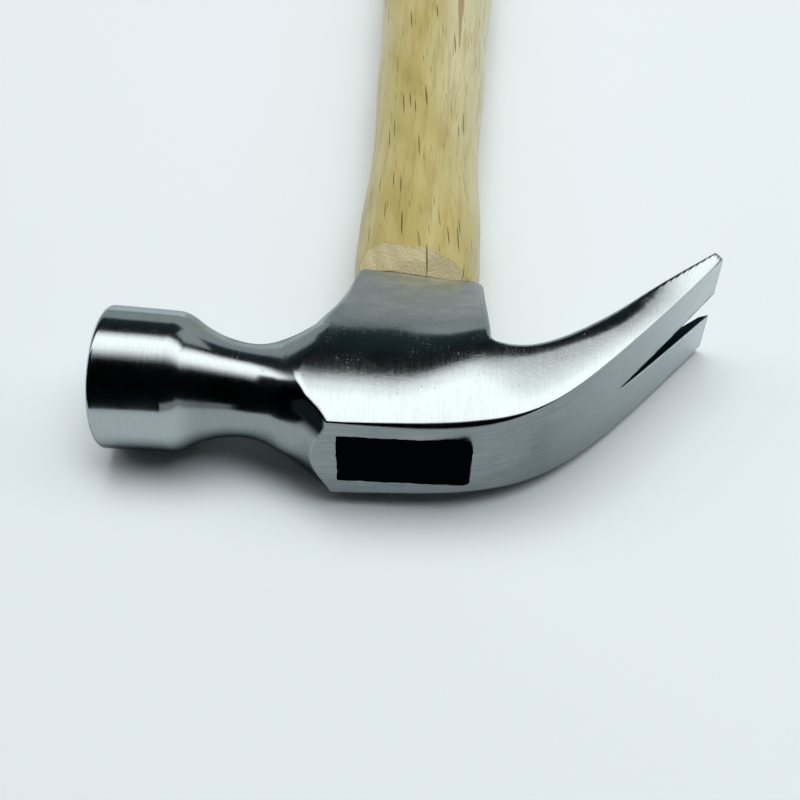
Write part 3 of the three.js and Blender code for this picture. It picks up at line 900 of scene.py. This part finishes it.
def make_floor_and_world():
    size = 6.0
    stage_plane("Floor", level(-size, size, -size, size, 0), (0.885, 0.922, 0.94), seen=True)
    world = bpy.data.worlds.new("Room")
    world.use_nodes = True
    n = Nodes(world.node_tree)
    background = n.add("Background", {"Color": (0.80, 0.87, 0.89, 1), "Strength": 0.4})
    n.add("OutputWorld", {"Surface": background.outputs[0]})
    bpy.context.scene.world = world


def make_lights(crown_y):
    """An overhead softbox, brightest behind the zenith, and a soft fill that no metal mirrors."""
    height, right = 1.0, 2.6
    # strips between two angles from the far horizon in degrees, as (from, to, radiance, left end)
    strips = ((57, 61, 0.68, -3.3), (61, 66, 1.2, -3.3), (66, 72, 1.55, -3.1), (72, 80, 1.5, -2.4),
              (80, 88, 1.35, -1.9), (88, 93, 1.0, -1.9), (93, 98, 0.6, -1.9), (98, 103, 0.2, -1.9))
    for k, (a, b, radiance, left) in enumerate(strips):
        far, near = (crown_y + height / math.tan(math.radians(t)) for t in (a, b))
        middle, depth = (far + near) / 2, far - near
        centre = (left + right) / 2
        area_light("Softbox%d" % k, (centre, middle, height), (centre, middle, 0), (right - left, depth),
                   radiance * math.pi * (right - left) * depth)
    area_light("Fill", (0.1, crown_y + 0.05, height), (0.05, crown_y, 0), (1.1, 0.4), 5.9, False,
               (0.91, 0.98, 1.0))


def make_flags(crown_y):
    """Dark cards that the polished steel mirrors. The camera sees none of them."""
    black, slate = (0.002, 0.004, 0.005), (0.018, 0.034, 0.042)
    half, back, front = 3.5, crown_y + 1.0, crown_y - 1.2
    roof, top = 1.06, 1.07
    stage_plane("FlagFar", wall_across(-half, 0.4, back, 0.49, top), slate)
    stage_plane("FlagRoof", level(-half, half, front, back, roof), black)
    stage_plane("FlagFront", wall_across(-half, half, front, 0.26, top), black)
    near = stage_plane("FlagNear", wall_along(-0.11, crown_y - 0.4, crown_y + 0.022, 0, 0.12), black)
    near.visible_diffuse = near.visible_shadow = False
    stage_plane("FlagLeft", wall_along(-half, front, back, 0.0, top), black)


def make_camera():
    aim = Vector((ORIGIN + CAMERA_AIM) * MM)
    azimuth, elevation = math.radians(CAMERA_AZIMUTH), math.radians(CAMERA_ELEVATION)
    back = Vector((math.sin(azimuth) * math.cos(elevation), -math.cos(azimuth) * math.cos(elevation),
                   math.sin(elevation)))
    data = bpy.data.cameras.new("Camera")
    data.lens, data.sensor_width, data.clip_start = 54.0, 36.0, 0.01
    camera = bpy.data.objects.new("Camera", data)
    camera.location = aim + back * CAMERA_DISTANCE
    camera.rotation_mode = "QUATERNION"
    roll = Matrix.Rotation(math.radians(CAMERA_ROLL), 3, back).to_quaternion()
    camera.rotation_quaternion = roll @ (-back).to_track_quat("-Z", "Y")
    bpy.context.scene.collection.objects.link(camera)
    bpy.context.scene.camera = camera
    bpy.context.scene.view_settings.view_transform = "Standard"


make_head(steel_material())
make_seal(fill_material())
make_handle(wood_material())
dress_wedges()
make_floor_and_world()
make_lights(ORIGIN[1] * MM)
make_flags(ORIGIN[1] * MM)
make_camera()
